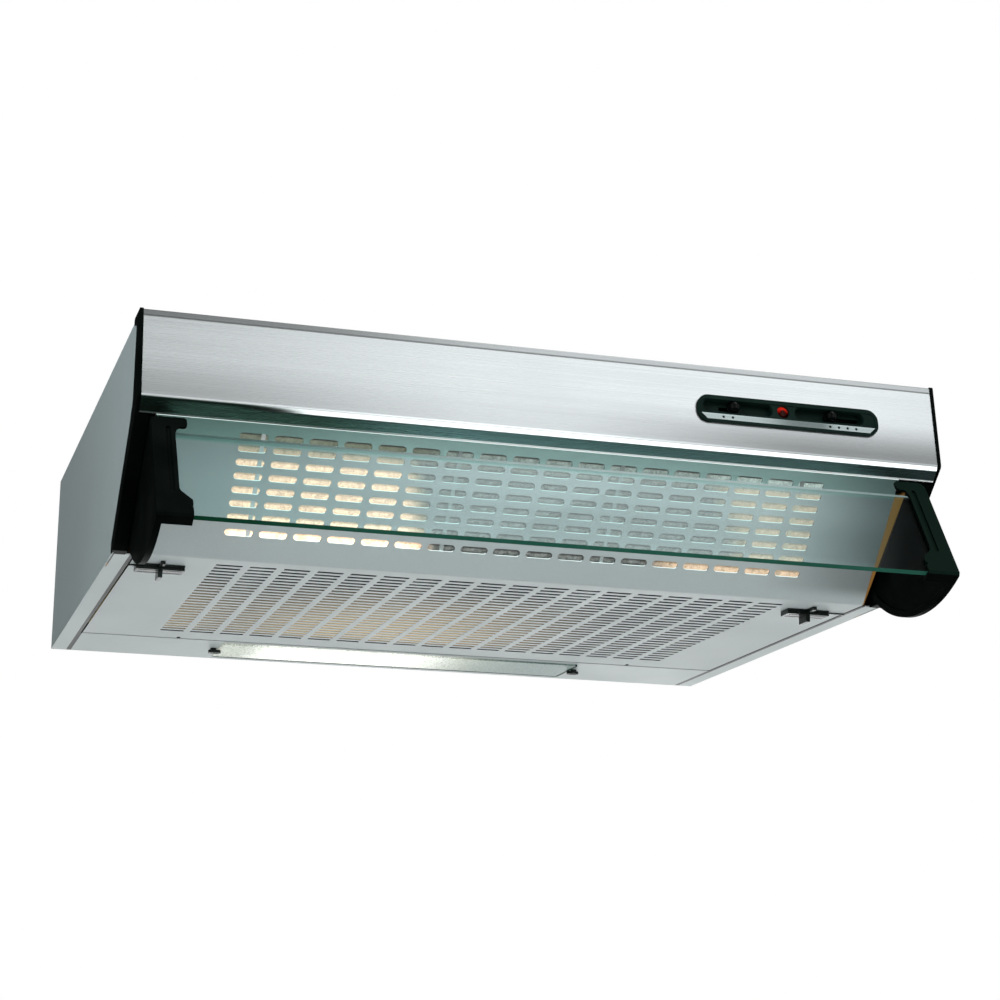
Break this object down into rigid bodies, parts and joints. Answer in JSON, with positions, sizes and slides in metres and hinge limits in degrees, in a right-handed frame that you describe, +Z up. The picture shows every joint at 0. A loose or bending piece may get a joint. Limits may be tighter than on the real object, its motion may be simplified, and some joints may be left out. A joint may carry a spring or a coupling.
{
  "type": "range hood",
  "caption": "Under-cabinet range hood with a brushed steel front, hinged glass visor, drop-down filter grille, lamp, slide controls and a twin-inlet fan.",
  "frame": {"origin": "middle of the back panel's bottom edge, in the plane of the wall face", "axes": "+X to the viewer's right along the hood's width, +Y towards the wall so the front is at -Y, +Z up"},
  "size_m": [0.598, 0.5462, 0.2127],
  "materials": {
    "casing": "satin grey paint",
    "grille": "satin grey paint",
    "inner": "plain zinc-grey coat",
    "stainless": "brushed along its length",
    "black": "fine-grained black moulding",
    "smoke": "satin dark moulding",
    "glass": "clear glass with a green edge",
    "mat": "felted grease mat",
    "lens": "clear red",
    "strip": "bright brushed",
    "cover": "milky diffuser",
    "white": "gloss white",
    "bulb": "frosted",
    "socket": "glazed",
    "steel": "bright zinc",
    "drum": "grey moulding",
    "motor": "dark paint",
    "wheel": "grey moulding",
    "collar": "dark moulding",
    "box": "white moulding",
    "switch": "dark moulding",
    "can": "drawn can"
  },
  "bodies": {
    "housing": {"side_panel_left": "casing", "side_panel_right": "casing", "back_panel": "casing", "top_panel": "casing", "front_panel": "stainless", "front_rail": "inner", "cheek_left": "black", "cheek_right": "black", "rear_tray": "casing", "reflector": "white", "lamp_cover": "cover", "lamp_socket": "socket", "bulb": "bulb", "hinge_pins": "steel", "control_bezel": "smoke", "marking_strip": "strip", "indicator_lens": "lens", "light_switch": "switch", "fan_switch": "switch", "fan_housing": "drum", "motor": "motor", "motor_bracket": "steel", "duct_collar": "collar", "flap_pin": "steel", "terminal_box": "box", "cable_gland": "black", "capacitor": "can", "top_screws": "steel", "collar_screws": "steel"},
    "grille_panel": {"grille": "grille", "mat_straps": "inner", "filter_mat": "mat"},
    "left_latch": {"latch_left": "smoke"},
    "right_latch": {"latch_right": "smoke"},
    "visor": {"visor_glass": "glass", "visor_arm_left": "black", "visor_arm_right": "black", "visor_pins": "steel"},
    "left_cover_clip": {"cover_clip_left": "black"},
    "right_cover_clip": {"cover_clip_right": "black"},
    "light_knob": {"light_slider": "black"},
    "fan_knob": {"fan_slider": "black"},
    "rotor": {"fan_shaft": "steel", "impeller_left": "wheel", "impeller_right": "wheel"},
    "front_flap": {"flap_front": "collar"},
    "rear_flap": {"flap_rear": "collar"}
  },
  "joints": [
    {"name": "grille_hinge", "type": "hinge", "parent": "housing", "child": "grille_panel", "pos_m": [0, -0.0902, 0.0033], "axis": [1, 0, 0], "range_deg": [0, 80]},
    {"name": "visor_hinge", "type": "hinge", "parent": "housing", "child": "visor", "pos_m": [0, -0.4859, 0.0883], "axis": [-1, 0, 0], "range_deg": [-70, 0]},
    {"name": "left_latch_slide", "type": "slide", "parent": "grille_panel", "child": "left_latch", "axis": [1, 0, 0], "range_m": [0, 0.008]},
    {"name": "right_latch_slide", "type": "slide", "parent": "grille_panel", "child": "right_latch", "axis": [-1, 0, 0], "range_m": [0, 0.008]},
    {"name": "left_clip_turn", "type": "hinge", "parent": "housing", "child": "left_cover_clip", "pos_m": [-0.1645, -0.0495, 0], "axis": [0, 0, 1], "range_deg": [0, 90]},
    {"name": "right_clip_turn", "type": "hinge", "parent": "housing", "child": "right_cover_clip", "pos_m": [0.1645, -0.0495, 0], "axis": [0, 0, -1], "range_deg": [0, 90]},
    {"name": "light_slide", "type": "slide", "parent": "housing", "child": "light_knob", "axis": [1, 0, 0], "range_m": [-0.0073, 0]},
    {"name": "fan_slide", "type": "slide", "parent": "housing", "child": "fan_knob", "axis": [1, 0, 0], "range_m": [0, 0.021]},
    {"name": "rotor_spin", "type": "hinge", "parent": "housing", "child": "rotor", "pos_m": [0, -0.215, 0.0786], "axis": [1, 0, 0], "continuous": true},
    {"name": "front_flap_hinge", "type": "hinge", "parent": "housing", "child": "front_flap", "pos_m": [0, -0.19, 0.164], "axis": [-1, 0, 0], "range_deg": [0, 75]},
    {"name": "rear_flap_hinge", "type": "hinge", "parent": "housing", "child": "rear_flap", "pos_m": [0, -0.19, 0.164], "axis": [1, 0, 0], "range_deg": [0, 75]}
  ]
}
